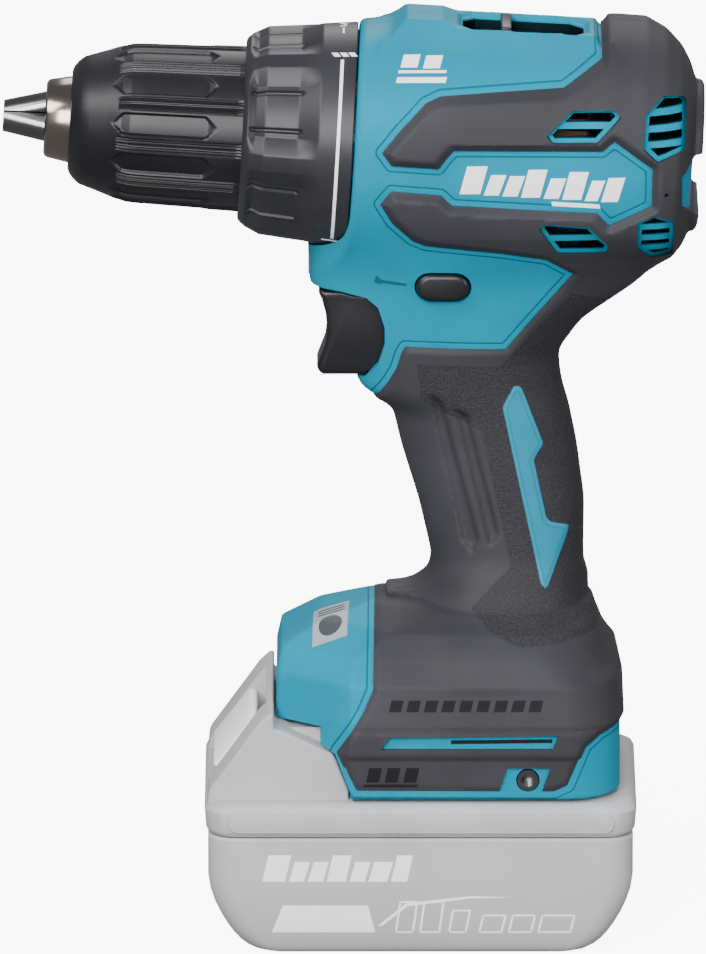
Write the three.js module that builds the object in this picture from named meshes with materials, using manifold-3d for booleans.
// Cordless drill driver standing on its battery. Millimetres, +Z up, nose toward -X.
// The origin is the centre of the battery's flat base.
import * as THREE from "three";
import { mergeVertices } from "three/addons/utils/BufferGeometryUtils.js";
import Module from "manifold-3d";

const wasm = await Module();
wasm.setup();

// ---------------------------------------------------------------- driving dimensions
const gap = 0.3; // between pieces that touch
const runningGap = 0.4; // between pieces that turn or slide past each other
const wall = 2.6; // housing wall
const rubber = 1.2; // thickness of the soft grip layer

// The barrel: its axis rises toward the nose. Along it, u is positive to the rear.
const axisHeight = 213.4; // height of the barrel axis above the origin
const axisTilt = THREE.MathUtils.degToRad(3.3);
const barrelFront = -19;
const barrelRear = 70.2;

// Chuck
const jawTip = -111.4;
const collarFront = -100.4;
const sleeveFront = -93.8;
const sleeveRear = -49;
const sleeveRadius = 22;
const jawAngle = THREE.MathUtils.degToRad(15);
const jawRadius = 4.05;
const jawLength = 33;
const chuckBore = 6.6;
const jawCount = 3;

// Torque ring and clutch
const ringFront = -48.4;
const ringFrontRadius = 24;
const ringRearRadius = 30.1;
const ringInner = 23.3;
const noseRadius = 14; // gear case nose, which carries the spring nut
const springNutFront = -43.4;
const springNutRear = -39.4;
const thrustPlateFront = -22;
const thrustPlateRear = -20.2;
const springRadius = 20;
const springWire = 1;

// Gear train: three planetary stages, all of the same gears
const gearModule = 0.9;
const sunTeeth = 15;
const planetTeeth = 12;
const ringTeeth = sunTeeth + 2 * planetTeeth;
const planetCount = 3;
const gearWidth = 5.8;
const caseOuter = 24.2;
const caseInner = 21.9;

// Motor
const statorOuter = 21.4;
const statorInner = 13.6;
const statorFront = 25;
const statorRear = 47;
const shaftRadius = 2.5;
const rearBearingRadius = 8;
const rearBearingFront = 60.2;
const rearBearingRear = 64.4;
const fanRadius = 17.8;
const fanFront = 51.4;
const fanRear = 57.6;
const spindleRadius = 6;

// Grip and trigger
const triggerHalfWidth = 7.5;
const triggerMid = 161; // height of the trigger's stem
const switchFront = 5;
const switchRear = 25.4;
const switchHalfWidth = 9.4;
const leverX = 4.6;
const leverHeight = 178.3;
const leverLength = 14;
const leverThickness = 7.6;
const leverReach = 21.5; // from the middle plane to each end
const lampHeight = 179.8;
const lampRadius = 3.2;
const lampFlange = 4.4;

// Foot and battery
const footBottom = 42.6;
const footHalfWidth = 36.5;
const footFront = -39.3;
const footRear = 51.5;
const batteryHalfWidth = footHalfWidth + 0.3;
const batteryFront = -57.8;
const batteryRear = 55.5;
const batterySplit = 32.4; // height where the lower case meets the upper one
const batteryShoulder = 41.6;
const railHalfWidth = 25.5; // battery's neck between the foot's lips
const railReach = 29.2; // its flanges above the lips
const cavityHalfWidth = 29.6;
const lipHeight = 4; // foot's inward lips
const cellRadius = 9.1;
const cellLength = 65;
const cellPitch = 19.2;
const cellMiddle = -1.2; // x of the middle cell
const cellRoomHalfWidth = 33.6;
const caseFloor = 2.6;
const caseRoof = 1.4;

// ---------------------------------------------------------------- solids
const AXIS_X = new THREE.Vector3(1, 0, 0);
const TAU = 2 * Math.PI;

// A closed geometry as a manifold solid, facing out.
function solid(geometry) {
  const plain = geometry.index ? geometry.toNonIndexed() : geometry.clone();
  for (const name of Object.keys(plain.attributes)) {
    if (name !== "position") plain.deleteAttribute(name);
  }
  const merged = mergeVertices(plain, 1e-4);
  const triVerts = new Uint32Array(merged.index.array);
  const vertProperties = merged.attributes.position.array;
  const made = new wasm.Manifold(new wasm.Mesh({ numProp: 3, vertProperties, triVerts }));
  if (made.volume() > 0) return made;
  for (let i = 0; i < triVerts.length; i += 3) {
    [triVerts[i], triVerts[i + 1]] = [triVerts[i + 1], triVerts[i]];
  }
  return new wasm.Manifold(new wasm.Mesh({ numProp: 3, vertProperties, triVerts }));
}

// A manifold solid back as a geometry with flat faces.
function geometryOf(made) {
  const mesh = made.getMesh();
  const positions = new Float32Array(mesh.numVert * 3);
  for (let i = 0; i < mesh.numVert; i++) {
    positions.set(mesh.vertProperties.subarray(i * mesh.numProp, i * mesh.numProp + 3), i * 3);
  }
  const geometry = new THREE.BufferGeometry();
  geometry.setAttribute("position", new THREE.BufferAttribute(positions, 3));
  geometry.setIndex(new THREE.BufferAttribute(mesh.triVerts, 1));
  const flat = geometry.toNonIndexed();
  flat.computeVertexNormals();
  return flat;
}

const join = (solids) => solids.reduce((sum, one) => sum.add(one));
const cut = (body, tools) => tools.reduce((rest, one) => rest.subtract(one), body);

// Revolved about X from [axial, radius] points that close on themselves or on the axis.
function turned(profile, segments = 28) {
  const points = profile.map(([u, r]) => new THREE.Vector2(r, u));
  if (profile[0][1] > 0) points.push(points[0].clone());
  return solid(new THREE.LatheGeometry(points, segments).rotateZ(-Math.PI / 2));
}

const tube = (u0, u1, inner, outer, segments) =>
  turned([[u0, inner], [u0, outer], [u1, outer], [u1, inner]], segments);

const rod = (u0, u1, radius, segments) =>
  turned([[u0, 0], [u0, radius], [u1, radius], [u1, 0]], segments);

// A rod to cut a hole with: its flats, not its corners, lie at the radius.
const boreTool = (u0, u1, radius, segments = 20) =>
  rod(u0, u1, radius / Math.cos(Math.PI / segments), segments);

// A round bar along X at (y, z), or along Y at (x, z).
const barAlongX = (x0, x1, radius, y, z, segments = 14) =>
  rod(x0, x1, radius, segments).translate([0, y, z]);
const barAlongY = (y0, y1, radius, x, z, segments = 14) =>
  solid(new THREE.CylinderGeometry(radius, radius, y1 - y0, segments)
    .translate(x, (y0 + y1) / 2, z));

const block = (x0, x1, y0, y1, z0, z1) =>
  solid(new THREE.BoxGeometry(x1 - x0, y1 - y0, z1 - z0)
    .translate((x0 + x1) / 2, (y0 + y1) / 2, (z0 + z1) / 2));

function shapeOf(outline) {
  return new THREE.Shape(outline.map(([a, b]) => new THREE.Vector2(a, b)));
}

// A side outline of [x, z] points, carried across from y0 to y1.
function slab(outline, y0, y1) {
  const made = new THREE.ExtrudeGeometry(shapeOf(outline), { depth: y1 - y0, bevelEnabled: false });
  return solid(made.rotateX(Math.PI / 2).translate(0, y1, 0));
}

// An end outline of [y, z] points, carried along X from x0 to x1.
function bar(outline, x0, x1, holes = []) {
  const shape = shapeOf(outline);
  shape.holes = holes.map((hole) => shapeOf(hole));
  const made = new THREE.ExtrudeGeometry(shape, { depth: x1 - x0, bevelEnabled: false });
  const turn = new THREE.Matrix4().makeBasis(
    new THREE.Vector3(0, 1, 0), new THREE.Vector3(0, 0, 1), AXIS_X);
  return solid(made.applyMatrix4(turn).translate(x0, 0, 0));
}

// A plan outline of [x, y] points, carried up from z0 to z1.
function plate(outline, z0, z1) {
  const made = new THREE.ExtrudeGeometry(shapeOf(outline), { depth: z1 - z0, bevelEnabled: false });
  return solid(made.translate(0, 0, z0));
}

// A skin drawn through a row of sections. place(row, angle) gives a point of the section,
// and its middle is the section's own average.
function drawn(rows, segments, place) {
  const geometry = new THREE.CylinderGeometry(1, 1, 1, segments, rows - 1);
  const positions = geometry.attributes.position;
  const middles = [];
  for (let row = 0; row < rows; row++) {
    const middle = new THREE.Vector3();
    for (let i = 0; i < segments; i++) middle.add(place(row, (i / segments) * TAU));
    middles.push(middle.divideScalar(segments));
  }
  for (let i = 0; i < positions.count; i++) {
    const row = Math.round((positions.getY(i) + 0.5) * (rows - 1));
    const onRim = Math.hypot(positions.getX(i), positions.getZ(i)) > 0.5;
    const turn = Math.atan2(positions.getX(i), positions.getZ(i)) / TAU;
    const step = (Math.round(turn * segments) + segments) % segments;
    const point = onRim ? place(row, (step / segments) * TAU) : middles[row];
    positions.setXYZ(i, point.x, point.y, point.z);
  }
  return solid(geometry);
}

// Corner points of a superellipse, closer to a box as the power rises.
function rounded(angle, power) {
  const c = Math.cos(angle);
  const s = Math.sin(angle);
  return [Math.sign(c) * Math.abs(c) ** (2 / power), Math.sign(s) * Math.abs(s) ** (2 / power)];
}

// Barrel coordinates (u, y, v) into the drill's own frame.
const barrelMatrix = new THREE.Matrix4().makeRotationY(axisTilt).setPosition(0, 0, axisHeight);
const inBarrel = (made) => made.transform(barrelMatrix.elements);

// ---------------------------------------------------------------- housing shape
// Sections along the barrel: place, height above the axis, depth below it, half width.
const barrelSections = [
  [barrelFront, 30.2, 30.2, 30.2],
  [-11, 31.3, 30.1, 30.8],
  [4, 32, 29.9, 31],
  [42, 32, 28.6, 30.6],
  [48, 33, 27.6, 30.6],
  [56.4, 32.7, 27.4, 30],
  [62, 29.6, 27.2, 28.2],
  [66.4, 25.2, 25.6, 25.2],
  [barrelRear, 18, 20, 19.2],
];

// Sections down the grip: height, front edge, rear edge, half width.
const gripSections = [
  [82, -2, 43, 31],
  [86.8, 0, 41.6, 23.5],
  [92.4, 3.4, 40.8, 18.8],
  [102, 3, 40.6, 15.8],
  [116, -0.2, 40.7, 15.1],
  [131, -5, 38.8, 14.8],
  [142, -8, 36.6, 14.8],
  [147, -17.6, 35, 15.2],
  [157, -21.5, 33.7, 15.8],
  [166, -26, 39.6, 17.4],
  [176, -30.8, 54, 19.4],
  [186, -31, 58, 23],
];

// Sections up the foot: height, front edge, rear edge, half width.
const footSections = [
  [footBottom, footFront, footRear, footHalfWidth],
  [62, footFront, footRear, footHalfWidth],
  [73, footFront, footRear - 2.5, 33],
  [79.8, footFront + 1.9, footRear - 7, 30],
  [85.3, footFront + 11.5, footRear - 9.5, 24],
  [89.3, footFront + 24, footRear - 10.5, 14],
];
const barrelSides = 20;
const gripSides = 14;
const footCorner = 20; // how far the foot's front corners are cut back

// The outside of the housing, grown by `grow` (a negative value draws it in).
function barrelSolid(grow) {
  const last = barrelSections.length - 1;
  return inBarrel(drawn(last + 1, barrelSides, (row, angle) => {
    const [place, up, down, side] = barrelSections[row];
    const [c, s] = rounded(angle, 2.4);
    const u = place + (row === last ? grow : 0);
    return new THREE.Vector3(u, (side + grow) * c, ((s > 0 ? up : down) + grow) * s);
  }));
}

function gripSolid(grow) {
  return drawn(gripSections.length, gripSides, (row, angle) => {
    const [z, front, rear, side] = gripSections[row];
    const [c, s] = rounded(angle, 2.5);
    const half = (rear - front) / 2 + grow;
    return new THREE.Vector3((front + rear) / 2 + half * c, -(side + grow) * s, z);
  });
}

function footOutline(front, rear, side) {
  const cornerIn = side * 0.55;
  const round = side * 0.5;
  return [
    [front, -cornerIn], [front + footCorner, -side], [rear - round, -side],
    [rear - round * 0.3, -side * 0.85], [rear, -side * 0.5],
    [rear, side * 0.5], [rear - round * 0.3, side * 0.85], [rear - round, side],
    [front + footCorner, side], [front, cornerIn],
  ];
}

function footSolid(grow) {
  const corners = footOutline(0, 1, 1).length;
  return drawn(footSections.length, corners, (row, angle) => {
    const [z, front, rear, side] = footSections[row];
    const outline = footOutline(front - grow, rear + grow, side + grow);
    const [x, y] = outline[Math.round((angle / TAU) * corners) % corners];
    return new THREE.Vector3(x, y, row === footSections.length - 1 ? z + grow : z);
  });
}

const housingSkin = (grow) => join([barrelSolid(grow), gripSolid(grow), footSolid(grow)]);

// ---------------------------------------------------------------- openings in the housing
// Space in front of the grip that the trigger moves in.
const triggerBay = [
  [-45, 174.3], [-22, 174.3], [-15.5, 173.2], [-12.4, 170.6], [-10.7, 165], [-10.7, 160],
  [-12.5, 154.5], [-15.9, 150.6], [-18.5, 150], [-45, 150],
];

// Slanted vents in the side of the barrel, as [x, z] outlines.
const ventOutlines = [
  [[31.7, 222.1], [38.4, 228.6], [49.5, 228.7], [51.3, 226.7], [45, 220], [33.3, 220]],
  [[62.4, 231.6], [67.5, 230.6], [68.5, 229.2], [68.3, 217.1], [60.8, 214.6], [57.1, 218.3],
    [57.7, 227.3]],
  [[29.6, 196.9], [42.9, 197.1], [48.4, 190.8], [47.4, 188.5], [34.7, 188.9]],
  [[60, 200.2], [65.3, 198], [65, 185.5], [59.5, 184.6], [55.5, 189.7], [55.8, 198.3]],
];

// Raised cowl along the top, around the speed selector's slot: [u, v] outline.
const cowlOutline = [[-9.5, 29], [-6, 34.4], [2.4, 34.4], [5.6, 33.2], [42, 33.2], [43.2, 29]];
const cowlHalfWidth = 11;
const slotFront = 8.5;
const slotRear = 39.5;
const slotHalfWidth = 8.6;
const sledgeHalfWidth = slotHalfWidth + 0.8; // the selector's plate closes the slot from inside
const selectorTop = 31.6;

// Lower edge of the foot's front, where it lifts over the battery's front block: [x, z].
const footFrontEdge = [[-37.6, 61], [-23.8, 54.3], [-19.8, 44.5]];

// Screws that hold the two halves together: [x, z].
const screwPlaces = [[-14.5, 184.8], [53, 188.8], [29, 146], [33.5, 97]];
const bossRadius = 3.6;
const screwRadius = 1.5;
const screwHeadRadius = 2.8;

// An outline with each corner moved toward the middle.
function shrunk(outline, amount) {
  const corners = outline.map(([a, b]) => new THREE.Vector2(a, b));
  const middle = corners.reduce((sum, one) => sum.add(one), new THREE.Vector2());
  middle.divideScalar(corners.length);
  return corners.map((one) => one.add(middle.clone().sub(one).setLength(amount)).toArray());
}

function housingSolid() {
  const cowl = inBarrel(slab(cowlOutline, -cowlHalfWidth, cowlHalfWidth));
  const skin = housingSkin(0).add(cowl);
  const innerGrip = drawn(gripSections.length, gripSides, (row, angle) => {
    const [z, front, rear, side] = gripSections[row];
    const [c, s] = rounded(angle, 2.5);
    const inFront = Math.max(front, -8);
    const half = (rear - inFront) / 2 - wall;
    return new THREE.Vector3((inFront + rear) / 2 + half * c, -(side - wall) * s, z);
  });
  const inner = join([
    barrelSolid(-wall),
    innerGrip,
    footSolid(-wall).subtract(block(-80, 80, -60, 60, 0, 62)),
  ]);
  const batteryBay = join([
    block(-60, footRear - 7, -railHalfWidth - runningGap, railHalfWidth + runningGap, 30, 61),
    block(-60, footRear - 7, -cavityHalfWidth, cavityHalfWidth, footBottom + lipHeight, 61),
  ]);
  const floorHole = block(-16, 22, -13.4, 13.4, 58, 70);
  const frontLift = slab([[-60, 30], [-60, 61], ...footFrontEdge, [footFrontEdge[2][0], 30]], -60, 60);
  let shell = cut(skin, [inner, batteryBay, floorHole, frontLift]);

  // Ribs that hold the gear case and the motor, and bosses for the screws.
  const ribs = join([
    rod(11, 14, 40, 8),
    rod(29, 31.5, 40, 8),
    rod(42, 44.5, 40, 8),
    rod(rearBearingFront - 0.2, rearBearingRear + 0.2, 40, 8),
  ]);
  const bosses = screwPlaces.map(([x, z]) => barAlongY(-45, 45, bossRadius, x, z, 8));
  const limit = housingSkin(-1);
  shell = shell.add(inBarrel(ribs).intersect(barrelSolid(-1)));
  shell = shell.add(join(bosses).intersect(limit));
  const seat = footHalfWidth + hookSeatRise;
  const seatOutline = shrunk(hookPad, 2 * gap);
  shell = join([
    shell, slab(seatOutline, -seat, 1 - footHalfWidth), slab(seatOutline, footHalfWidth - 1, seat),
  ]);

  const leverHole = slab(stadium(leverX, leverHeight, leverLength + 1, leverThickness + 1), -60, 60);
  const stemHole = block(-20, 0, -triggerHalfWidth - gap, triggerHalfWidth + gap, 150.5, 173.5);
  const lampHole = join([
    barAlongX(-45, -10, lampRadius + gap, 0, lampHeight, 12),
    barAlongX(-23, -10, lampFlange + gap, 0, lampHeight, 12),
  ]);
  const selectorSlot = inBarrel(block(slotFront, slotRear, -slotHalfWidth, slotHalfWidth, 26, 45));
  const bayHalfWidth = sledgeHalfWidth + runningGap;
  const selectorBay = inBarrel(block(-6, 41, -bayHalfWidth, bayHalfWidth, 20, 28.4));
  const driveBore = inBarrel(boreTool(barrelFront - 5, 19.5, caseOuter + gap));
  const motorBore = inBarrel(boreTool(19, 51, statorOuter + gap));
  const bearingBore = inBarrel(boreTool(50, rearBearingRear + gap, rearBearingRadius + gap));
  const ringSpace = inBarrel(turned([
    [-60, 0], [-60, 27], [ringFront + 5.8, 27.2 + 2 * gap], [barrelFront, ringRearRadius + 2 * gap],
    [barrelFront, 0],
  ], 28));
  const fanRoom = fanRadius + 1.2;
  const screwHoles = screwPlaces.map(([x, z]) => barAlongY(-9, 60, screwRadius + gap, x, z, 8));
  const headHoles = screwPlaces.map(([x, z]) => barAlongY(10, 60, screwHeadRadius + gap, x, z, 10));
  const vents = ventOutlines.map((outline) => slab(outline, -60, 60));
  shell = cut(shell, [
    slab(triggerBay, -60, 60), leverHole, stemHole, lampHole, selectorSlot, selectorBay,
    driveBore, motorBore, bearingBore, ringSpace, ...screwHoles, ...headHoles, ...vents,
    inBarrel(block(fanFront - 0.9, rearBearingFront - 0.2, -fanRoom, fanRoom, -fanRoom, fanRoom)),
  ]);
  return shell;
}

function stadium(x, z, length, thickness, steps = 6) {
  const points = [];
  const r = thickness / 2;
  for (const side of [1, -1]) {
    for (let i = 0; i <= steps; i++) {
      const angle = -Math.PI / 2 + (i / steps) * Math.PI;
      const reach = length / 2 - r + r * Math.cos(angle);
      points.push([x + side * reach, z + side * r * Math.sin(angle)]);
    }
  }
  return points;
}

// ---------------------------------------------------------------- soft grip layer
// Side outline of the rubber: a bar over the vents, one under them, the rear cap, the
// grip and the top of the foot.
const rubberOutline = [
  [-11.4, 217.4], [-9, 213.9], [3.4, 213.1], [7.4, 218], [46.3, 217.7], [49.5, 220.3],
  [59.5, 212.8], [59.3, 202.6], [48.1, 197.1], [45, 200.8], [6.9, 203], [4, 205.9],
  [-9, 206.9], [-11.9, 203.2], [-8.7, 197.7], [-3.4, 192.5], [19.8, 188.9], [31.7, 186.8],
  [38.9, 181.9], [21.2, 160.2], [-5.3, 161], [-7.7, 154.5], [-9.8, 146], [-20, 141],
  [-20, 92], [-13.4, 90.5], [-13.8, 72], [-24.6, 53.7], [-20, 43.4], [34, 43.4],
  [41.5, 54.6], [52.9, 62], [60, 63], [60, 120], [90, 150], [90, 260], [45.8, 260],
  [46.3, 239.7], [36.2, 233.5], [4, 231.8], [0, 230.1], [-6.6, 223.3],
];

// A belt hook screws to a bare pad on either side of the foot, with its lug in a slot above.
const hookPlace = [27.1, 48.1];
const hookRadius = 2.9;
const hookDepth = 5;
const hookPad = [[21.6, 51.4], [33, 51.4], [30.4, 44], [19.2, 44]];
const hookSeatRise = 0.6; // the pad stands this far out of the foot's side
const hookSlot = [[-11.9, 55.7], [-9.3, 59], [35.2, 59.5], [33.6, 55.7]];

function rubberSolid() {
  const skin = housingSkin(gap + rubber).subtract(housingSkin(gap));
  const windows = ventOutlines.map((outline) => slab(outline, -60, 60));
  return cut(skin.intersect(slab(rubberOutline, -60, 60)), [
    ...windows,
    slab(triggerBay, -60, 60),
    inBarrel(block(60, 90, -9, 9, -10, 4)),
    ...screwPlaces.map(([x, z]) => barAlongY(0, 60, screwHeadRadius + 1, x, z, 10)),
    block(-80, footRear - 7, -railHalfWidth - runningGap, railHalfWidth + runningGap, 0, 61),
    slab(hookPad, -60, 60),
    slab(hookSlot, -60, 60),
  ]);
}

// ---------------------------------------------------------------- gears
const pitchRadius = (teeth) => (teeth * gearModule) / 2;
const toothDepth = 0.88 * gearModule;
const rootDepth = 1.2 * gearModule;

// Tooth outline, four points a tooth, with a tooth's middle at `start`.
function gearOutline(teeth, start, inward = false) {
  const side = inward ? -1 : 1;
  const pitch = pitchRadius(teeth);
  const step = TAU / teeth;
  const tip = pitch + side * toothDepth;
  const root = pitch - side * rootDepth;
  const points = [];
  for (let i = 0; i < teeth; i++) {
    for (const [radius, part] of [[root, -0.3], [tip, -0.1], [tip, 0.1], [root, 0.3]]) {
      const angle = start + (i + part) * step;
      points.push([radius * Math.cos(angle), radius * Math.sin(angle)]);
    }
  }
  return points;
}

const circle = (radius, steps, y = 0, z = 0) =>
  Array.from({ length: steps }, (_, i) => {
    const angle = (i / steps) * TAU;
    return [y + radius * Math.cos(angle), z + radius * Math.sin(angle)];
  });

const planetOrbit = pitchRadius(sunTeeth) + pitchRadius(planetTeeth);
const planetPin = 1.7;
const planetAngles = Array.from({ length: planetCount }, (_, i) => Math.PI / 2 + (i / planetCount) * TAU);

// Turn of a planet that puts its gap on the sun's tooth.
function planetStart(place) {
  const sunPhase = (place * sunTeeth) / TAU;
  return place + Math.PI - ((0.5 - sunPhase) * TAU) / planetTeeth;
}
// Turn of the ring gear that puts its gap on the first planet's tooth.
function ringStart() {
  const place = planetAngles[0];
  const planetPhase = ((place - planetStart(place)) * planetTeeth) / TAU;
  return place - ((planetPhase - 0.5) * TAU) / ringTeeth;
}

const sunGear = (u0, u1) => bar(gearOutline(sunTeeth, 0), u0, u1);
const ringGear = (u0, u1) =>
  bar(circle(caseInner - gap, 26), u0, u1, [gearOutline(ringTeeth, ringStart(), true)]);
const planetGear = (u0, u1, place) =>
  bar(gearOutline(planetTeeth, planetStart(place)), u0, u1, [circle(planetPin + 0.25, 12)])
    .translate([0, planetOrbit * Math.cos(place), planetOrbit * Math.sin(place)]);
const planetPins = (u0, u1) =>
  planetAngles.map((place) =>
    barAlongX(u0, u1, planetPin, planetOrbit * Math.cos(place), planetOrbit * Math.sin(place), 12));

// Stages from the chuck back to the motor: where each planet row starts.
const stageFronts = { 3: -13, 2: -4, 1: 9.6 };
const carrierFront3 = -16;
const carrierFront2 = -6.6;
const carrierFront1 = 2.6;
const caseFront = -18.5;
const caseRear = 15.7;

// ---------------------------------------------------------------- chuck
const jawLean = Math.tan(jawAngle);
const envelope = (u) => (u - jawTip) * jawLean + jawRadius / Math.cos(jawAngle);
const nutFront = -76;
const nutRear = -70;

function chuckBodySolid() {
  const body = turned([
    [collarFront, chuckBore], [collarFront, 9.6], [collarFront + 0.6, 10.1],
    [sleeveFront - gap, 11.2], [sleeveFront - gap, 11.5], [-86, 12.4],
    [nutFront - gap, envelope(nutRear) - 0.2], [nutRear + gap, envelope(nutRear) - 0.2],
    [nutRear + gap, 16.4], [-53.3, 16.4], [-53.3, 19.4], [sleeveRear, 19.4],
    [sleeveRear, spindleRadius + gap], [-66, spindleRadius + gap], [-66, chuckBore],
  ], 24);
  const bores = jawAngles.map((place) => jawBar(place, jawRadius + 0.25, jawTip - 5, -53.6));
  return cut(body, bores);
}

const jawAngles = Array.from({ length: jawCount }, (_, i) => Math.PI / 2 + (i / jawCount) * TAU);

// A round bar along a jaw's own slanted line.
function jawBar(place, radius, u0, u1) {
  const along = (u) => (u - jawTip) / Math.cos(jawAngle);
  const made = rod(along(u0), along(u1), radius, 12);
  const turn = new THREE.Matrix4().makeTranslation(jawTip, 0, 0);
  turn.multiply(new THREE.Matrix4().makeRotationX(place - Math.PI / 2));
  turn.multiply(new THREE.Matrix4().makeRotationY(-jawAngle));
  return made.transform(turn.elements);
}

// One jaw: the bar trimmed to its third of the circle and squared at the tip.
function jawSolid(place) {
  const bite = 0.15;
  const reach = 40;
  const half = Math.PI / jawCount;
  const wedge = [[0, 0], [1, 0], [0, 1]].map(([a, b]) => {
    const angle = place + (b - a) * half;
    const far = a + b > 0 ? reach : 0;
    const shift = bite / Math.sin(half);
    return [
      shift * Math.cos(place) + far * Math.cos(angle),
      shift * Math.sin(place) + far * Math.sin(angle),
    ];
  });
  return jawBar(place, jawRadius, jawTip - 4, jawTip + jawLength * Math.cos(jawAngle))
    .intersect(bar(wedge, jawTip, -60));
}

function sleeveSolid() {
  const clear = 0.5;
  return turned([
    [sleeveFront, 11.9], [sleeveFront, 12.7], [-92.6, 15], [-90, 16.8], [-84, 19], [-78, 21.1],
    [sleeveRear - 0.6, sleeveRadius], [sleeveRear - 0.6, 19.9 + clear],
    [-53.3, 19.9 + clear], [-58, envelope(-54) + clear], [nutRear, 18.9], [nutFront, 18.9],
    [-87, 13.4],
  ], 28);
}

// A spring wound about X.
function spring(u0, u1, radius, wire, turns, stepsPerTurn) {
  class Helix extends THREE.Curve {
    getPoint(t, target = new THREE.Vector3()) {
      const angle = t * turns * TAU;
      const u = u0 + wire + t * (u1 - u0 - 2 * wire);
      return target.set(u, radius * Math.cos(angle), radius * Math.sin(angle));
    }
  }
  const section = shapeOf(circle(wire, 6));
  const made = new THREE.ExtrudeGeometry(section, {
    steps: Math.round(turns * stepsPerTurn), extrudePath: new Helix(), bevelEnabled: false,
  });
  return solid(made);
}

// ---------------------------------------------------------------- battery

function roundedPlan(x0, x1, side, corner) {
  const points = [];
  const quarter = 4;
  for (const [cx, cy, from] of [
    [x1 - corner, side - corner, 0], [x0 + corner, side - corner, 1],
    [x0 + corner, -side + corner, 2], [x1 - corner, -side + corner, 3],
  ]) {
    for (let i = 0; i <= quarter; i++) {
      const angle = (from + i / quarter) * (Math.PI / 2);
      points.push([cx + corner * Math.cos(angle), cy + corner * Math.sin(angle)]);
    }
  }
  return points;
}

const caseCorner = 7;
// Rounding of the case's lower edge: height, how far the ends and the sides are drawn in.
const caseEdge = [[0, 12, 3.2], [2.8, 8.4, 1.7], [7.1, 5.2, 0.8], [11.5, 2.4, 0.3], [18, 0, 0]];
// Plan of the case, drawn in at its ends by endsIn and at its sides by sidesIn.
const casePlan = (endsIn = 0, sidesIn = 0) => roundedPlan(
  batteryFront + 0.4 + endsIn, batteryRear - 0.5 - endsIn, batteryHalfWidth - sidesIn, caseCorner);
const cellRows = [12.2, 31];
const cellXs = Array.from({ length: 5 }, (_, i) => cellMiddle + (i - 2) * cellPitch);
// Space for the cells, with its two lower edges cut away along with the case's.
function cellRoom(z0, z1) {
  const edge = 6;
  const front = cellXs[0] - cellPitch / 2 - 0.6;
  const rear = cellXs[cellXs.length - 1] + cellPitch / 2 + 0.6;
  return slab([
    [front + edge, z0], [rear - edge, z0], [rear, z0 + edge], [rear, z1], [front, z1],
    [front, z0 + edge],
  ], -cellRoomHalfWidth, cellRoomHalfWidth);
}

function lowerCaseSolid() {
  const straightFrom = caseEdge[caseEdge.length - 1][0];
  const skin = join([
    plate(casePlan(), straightFrom, batterySplit - gap / 2),
    drawn(caseEdge.length, casePlan().length, (row, angle) => {
      const [z, endsIn, sidesIn] = caseEdge[row];
      const plan = casePlan(endsIn, sidesIn);
      const [x, y] = plan[Math.round((angle / TAU) * plan.length) % plan.length];
      return new THREE.Vector3(x, y, z);
    }),
  ]);
  return skin.subtract(cellRoom(caseFloor, batterySplit + 10));
}

const frontBlock = [
  [batteryFront, 40], [batteryFront + 0.6, 44], [-43.6, 63], [-41.4, 64.8], [-40, 65.2],
  [-40, footFrontEdge[0][1] - runningGap],
  ...footFrontEdge.map(([x, z]) => [x - runningGap, z - runningGap]),
  [footFrontEdge[2][0] - runningGap, 40],
];
const frontShare = 0.87; // of the battery's half width, clear of the foot's cut corners
const frontHalfWidth = frontShare * batteryHalfWidth;
const buttonRest = 50.5; // height of the release button's middle
const buttonHalfWidth = 17;

function upperCaseSolid() {
  const neckTop = 59.6;
  const flangeBottom = footBottom + lipHeight + runningGap;
  const shoulder = plate(casePlan(), batterySplit + gap / 2, batteryShoulder);
  const neck = block(-41, footRear - 8.2, -railHalfWidth, railHalfWidth, 38, neckTop);
  const flanges = block(-41, footRear - 8.2, -railReach, railReach, flangeBottom, flangeBottom + 4);
  const front = slab(frontBlock, -frontHalfWidth, frontHalfWidth);
  const body = join([shoulder, neck, flanges, front]);
  return cut(body, [
    cellRoom(20, batteryShoulder - caseRoof),
    block(-18, 60, -14.4, 14.4, 47, 70), // room for the drill's terminal block
    block(-60, -42, -buttonHalfWidth - 0.6, buttonHalfWidth + 0.6, buttonRest - 9, 70),
  ]);
}

// ---------------------------------------------------------------- trigger and switchgear
const triggerOutline = [
  [-28.6, 172.7], [-27.2, 170.1], [-26.2, 166.2], [-25.9, 162.1], [-26.5, 157.9], [-27.8, 154.7],
  [-28.6, 152.6], [-28, 151], [-20.5, 151], [-16.6, 153.6], [-14.2, 158], [-13.8, 163],
  [-14.6, 167], [-16.6, 170.6], [-19, 172.7],
];

function triggerSolid() {
  const face = slab(triggerOutline, -triggerHalfWidth, triggerHalfWidth);
  const stem = block(-20, -2.6, -4, 4, triggerMid - 4, triggerMid + 4);
  const pocket = barAlongX(-9, 0, 3.2, 0, triggerMid, 12);
  return face.add(stem).subtract(pocket);
}

function selectorSolid() {
  const knobHalfWidth = slotHalfWidth - 0.8;
  const sledge = block(-5, 33, -sledgeHalfWidth, sledgeHalfWidth, 26, 27.6);
  const knob = join([
    block(13, 26, -knobHalfWidth, knobHalfWidth, 27, 29.2),
    block(17.6, 21, -knobHalfWidth, knobHalfWidth, 28, selectorTop + 0.6),
    block(-3.4, -1, -2, 2, caseInner + 0.4, 27),
  ]);
  return sledge.add(knob);
}

// ---------------------------------------------------------------- the model
const drill = new THREE.Group();
const barrel = new THREE.Group();
barrel.position.set(0, 0, axisHeight);
barrel.rotation.y = axisTilt;
drill.add(barrel);

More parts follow.
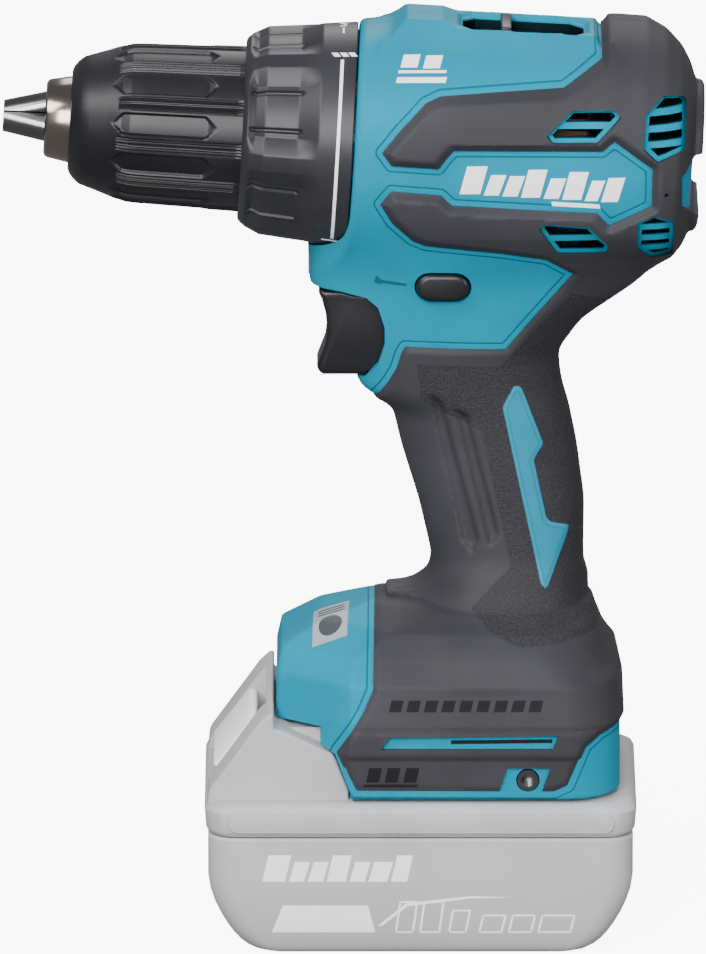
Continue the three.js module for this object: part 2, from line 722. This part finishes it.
const looks = {
  housing: [0x1ea5be, 0.45, 0],
  rubber: [0x3b3b41, 0.8, 0],
  blackPlastic: [0x2f2f34, 0.5, 0],
  steel: [0xb4b6b8, 0.3, 1],
  brightSteel: [0xd0cdc6, 0.25, 1],
  aluminium: [0xa8abae, 0.4, 1],
  copper: [0xb0683a, 0.4, 1],
  board: [0x1e5a3a, 0.6, 0],
  lens: [0xf2f4f5, 0.2, 0],
  battery: [0xbebec0, 0.55, 0],
  cell: [0x6fa04a, 0.5, 0],
};

function put(group, name, made, look) {
  const [color, roughness, metalness] = looks[look];
  const material = new THREE.MeshStandardMaterial({ color, roughness, metalness });
  const mesh = new THREE.Mesh(geometryOf(made), material);
  mesh.name = name;
  group.add(mesh);
}

// The left (side -1) or right (side 1) half of a solid, short of the middle plane.
function half(made, side) {
  const near = (side * gap) / 2;
  const far = side * 80;
  return made.intersect(block(-150, 120, Math.min(near, far), Math.max(near, far), -10, 300));
}

function addHousing() {
  const [hookX, hookZ] = hookPlace;
  // A round bar across, from `near` to `far` outward on one side.
  const across = (side, near, far, radius, segments) =>
    barAlongY(Math.min(side * near, side * far), Math.max(side * near, side * far),
      radius, hookX, hookZ, segments);
  const hookFloor = footHalfWidth - hookDepth;
  const shell = cut(housingSolid(), [-1, 1].map((side) =>
    across(side, hookFloor, 60, (hookRadius + gap) / Math.cos(Math.PI / 12), 12)));
  const soft = rubberSolid();
  for (const [side, name] of [[-1, "left"], [1, "right"]]) {
    put(drill, "housing_" + name, half(shell, side), "housing");
    put(drill, "soft_grip_" + name, half(soft, side), "rubber");
    const insert = across(side, hookFloor + gap, footHalfWidth, hookRadius, 12)
      .subtract(across(side, hookFloor + 1, 60, hookRadius - 1.1, 12));
    put(drill, "hook_insert_" + name, insert, "steel");
  }
  screwPlaces.forEach(([x, z], i) => {
    const head = barAlongY(10.3, 12.6, screwHeadRadius, x, z, 10);
    const shank = barAlongY(-8, 11, screwRadius, x, z, 8);
    const drive = barAlongY(11.6, 14, 1.1, x, z, 6);
    put(drill, "housing_screw_" + (i + 1), head.add(shank).subtract(drive), "steel");
  });
  const lamp = join([
    barAlongX(-31.4, -22, lampRadius, 0, lampHeight, 12),
    barAlongX(-22.6, -20.4, lampFlange, 0, lampHeight, 12),
  ]);
  put(drill, "lamp", lamp, "lens");
}

function addDrive() {
  const seat = 11.2; // spindle bearing outer radius
  const shiftSlot = block(-5, 8.5, -3, 3, 18, 26); // for the speed selector's peg
  put(barrel, "gear_case", cut(turned([
    [-46, seat + gap], [-46, noseRadius], [caseFront - gap, noseRadius], [caseFront, noseRadius + 0.2],
    [caseFront, caseOuter], [caseRear, caseOuter], [caseRear, caseInner], [-16.5, caseInner],
    [-16.5, spindleRadius + runningGap], [-36.4, spindleRadius + runningGap], [-36.4, seat + gap],
  ], 24), [shiftSlot]), "aluminium");
  put(barrel, "spindle_bearing", tube(-45.6, -36.7, spindleRadius + 0.1, seat, 24), "steel");
  const spindle = join([
    rod(-64, carrierFront3 + 1, spindleRadius, 24),
    rod(carrierFront3, carrierFront3 + 2.5, 17, 24),
    ...planetPins(carrierFront3 + 2, stageFronts[3] + gearWidth - 0.3),
  ]);
  put(barrel, "spindle", spindle, "steel");
  const carrier2 = join([
    rod(carrierFront2, carrierFront2 + 2, 16, 24),
    sunGear(stageFronts[3] + 0.3, carrierFront2 + 1),
    ...planetPins(carrierFront2 + 1, stageFronts[2] + gearWidth - 0.3),
  ]);
  put(barrel, "carrier_2", carrier2, "steel");
  const carrier1 = join([
    rod(carrierFront1, stageFronts[1] - 0.6, 15.5, 24),
    sunGear(stageFronts[2] + 0.3, carrierFront1 + 1),
    ...planetPins(stageFronts[1] - 1, stageFronts[1] + gearWidth - 0.3),
  ]);
  put(barrel, "carrier_1", carrier1, "steel");
  for (const stage of [1, 2, 3]) {
    const front = stageFronts[stage];
    put(barrel, "ring_gear_" + stage, ringGear(front - 0.2, front + gearWidth), "steel");
    planetAngles.forEach((place, i) =>
      put(barrel, "planet_" + stage + "_" + (i + 1), planetGear(front, front + gearWidth, place), "steel"));
  }
  put(barrel, "motor_plate", tube(caseRear + gap, caseRear + 2.8, 8.4, caseOuter, 24), "aluminium");
  const rotor = join([
    rod(stageFronts[1] + 0.4, 65.6, shaftRadius, 16),
    rod(statorFront + 0.6, statorRear - 0.6, statorInner - 0.7, 28),
    sunGear(stageFronts[1] + 0.4, stageFronts[1] + gearWidth),
  ]);
  put(barrel, "rotor", rotor, "steel");
  put(barrel, "stator", cut(tube(statorFront, statorRear, statorInner, statorOuter, 28),
    Array.from({ length: 6 }, (_, i) => barAlongX(20, 60, 2.2,
      17.6 * Math.cos((i / 6) * TAU), 17.6 * Math.sin((i / 6) * TAU), 8))), "copper");
  put(barrel, "sensor_board", tube(48, 49.6, 8, 20.6, 24), "board");
  const fanBlades = 9;
  const blades = Array.from({ length: fanBlades }, (_, i) =>
    block(fanFront + 2, fanRear - 0.2, -0.6, 0.6, 6, fanRadius - 0.2)
      .rotate([(i * 360) / fanBlades, 0, 0]));
  put(barrel, "fan", join([
    tube(fanFront, fanRear, shaftRadius + 0.1, 7, 18),
    tube(fanFront, fanFront + 2.2, 6, fanRadius, 24),
    ...blades,
  ]), "blackPlastic");
  put(barrel, "rear_bearing",
    tube(rearBearingFront, rearBearingRear, shaftRadius + 0.1, rearBearingRadius, 20), "steel");
}

function addClutch() {
  put(barrel, "torque_ring", turned([
    [ringFront, ringInner - 0.6], [ringFront, ringFrontRadius], [ringFront + 1.4, 25.8],
    [ringFront + 5.8, 27.2], [barrelFront - gap, ringRearRadius], [barrelFront - gap, ringInner],
    [ringFront + 3, ringInner],
  ], 28), "blackPlastic");
  put(barrel, "spring_nut",
    tube(springNutFront, springNutRear, noseRadius + gap, ringInner - 0.5, 24), "steel");
  put(barrel, "clutch_spring", spring(springNutRear + runningGap, thrustPlateFront - runningGap,
    springRadius, springWire, 3.5, 11), "steel");
  put(barrel, "thrust_plate",
    tube(thrustPlateFront, thrustPlateRear, noseRadius + gap, ringInner - 0.5, 24), "steel");
}

function addChuck() {
  put(barrel, "chuck_body", chuckBodySolid(), "brightSteel");
  put(barrel, "chuck_sleeve", sleeveSolid(), "blackPlastic");
  put(barrel, "chuck_nut", tube(nutFront, nutRear, envelope(nutRear) + 0.3, 18.4, 24), "steel");
  jawAngles.forEach((place, i) => put(barrel, "jaw_" + (i + 1), jawSolid(place), "steel"));
}

function addControls() {
  put(drill, "trigger", triggerSolid(), "blackPlastic");
  const returnSpring = spring(-8.6, switchFront - runningGap, 2.3, 0.35, 4, 6);
  put(drill, "trigger_spring", returnSpring.translate([0, 0, triggerMid]), "steel");
  put(drill, "switch_module",
    block(switchFront, switchRear, -switchHalfWidth, switchHalfWidth, triggerMid - 9.5, triggerMid + 10.4),
    "blackPlastic");
  put(drill, "reverse_lever",
    slab(stadium(leverX, leverHeight, leverLength, leverThickness), -leverReach, leverReach),
    "blackPlastic");
  put(barrel, "speed_selector", selectorSolid(), "blackPlastic");
  put(drill, "controller_board", block(-9, 33, -20, 20, 71, 76), "board");
  put(drill, "terminal_block", join([
    block(-15.6, 21.6, -13, 13, 58.4, 66), block(-12, 18, -12.4, 12.4, 49, 60),
  ]), "blackPlastic");
}

function addBattery() {
  put(drill, "battery_lower_case", lowerCaseSolid(), "battery");
  put(drill, "battery_upper_case", upperCaseSolid(), "battery");
  cellXs.forEach((x, i) => {
    const pair = join([
      ...cellRows.map((z) => barAlongY(-cellLength / 2, cellLength / 2, cellRadius, x, z - 0.2)),
      block(x - 3.5, x + 3.5, cellLength / 2 - 0.4, cellLength / 2 + 0.5, cellRows[0], cellRows[1]),
    ]);
    put(drill, "cell_pair_" + (i + 1), pair, "cell");
  });
  const button = slab([
    [-56.4, buttonRest - 4.4], [-46.6, buttonRest + 8.2], [-44.4, buttonRest + 8.2],
    [-44.4, buttonRest - 4.4],
  ], -buttonHalfWidth, buttonHalfWidth);
  put(drill, "release_button", button, "battery");
}

addHousing();
addDrive();
addClutch();
addChuck();
addControls();
addBattery();

export default drill;
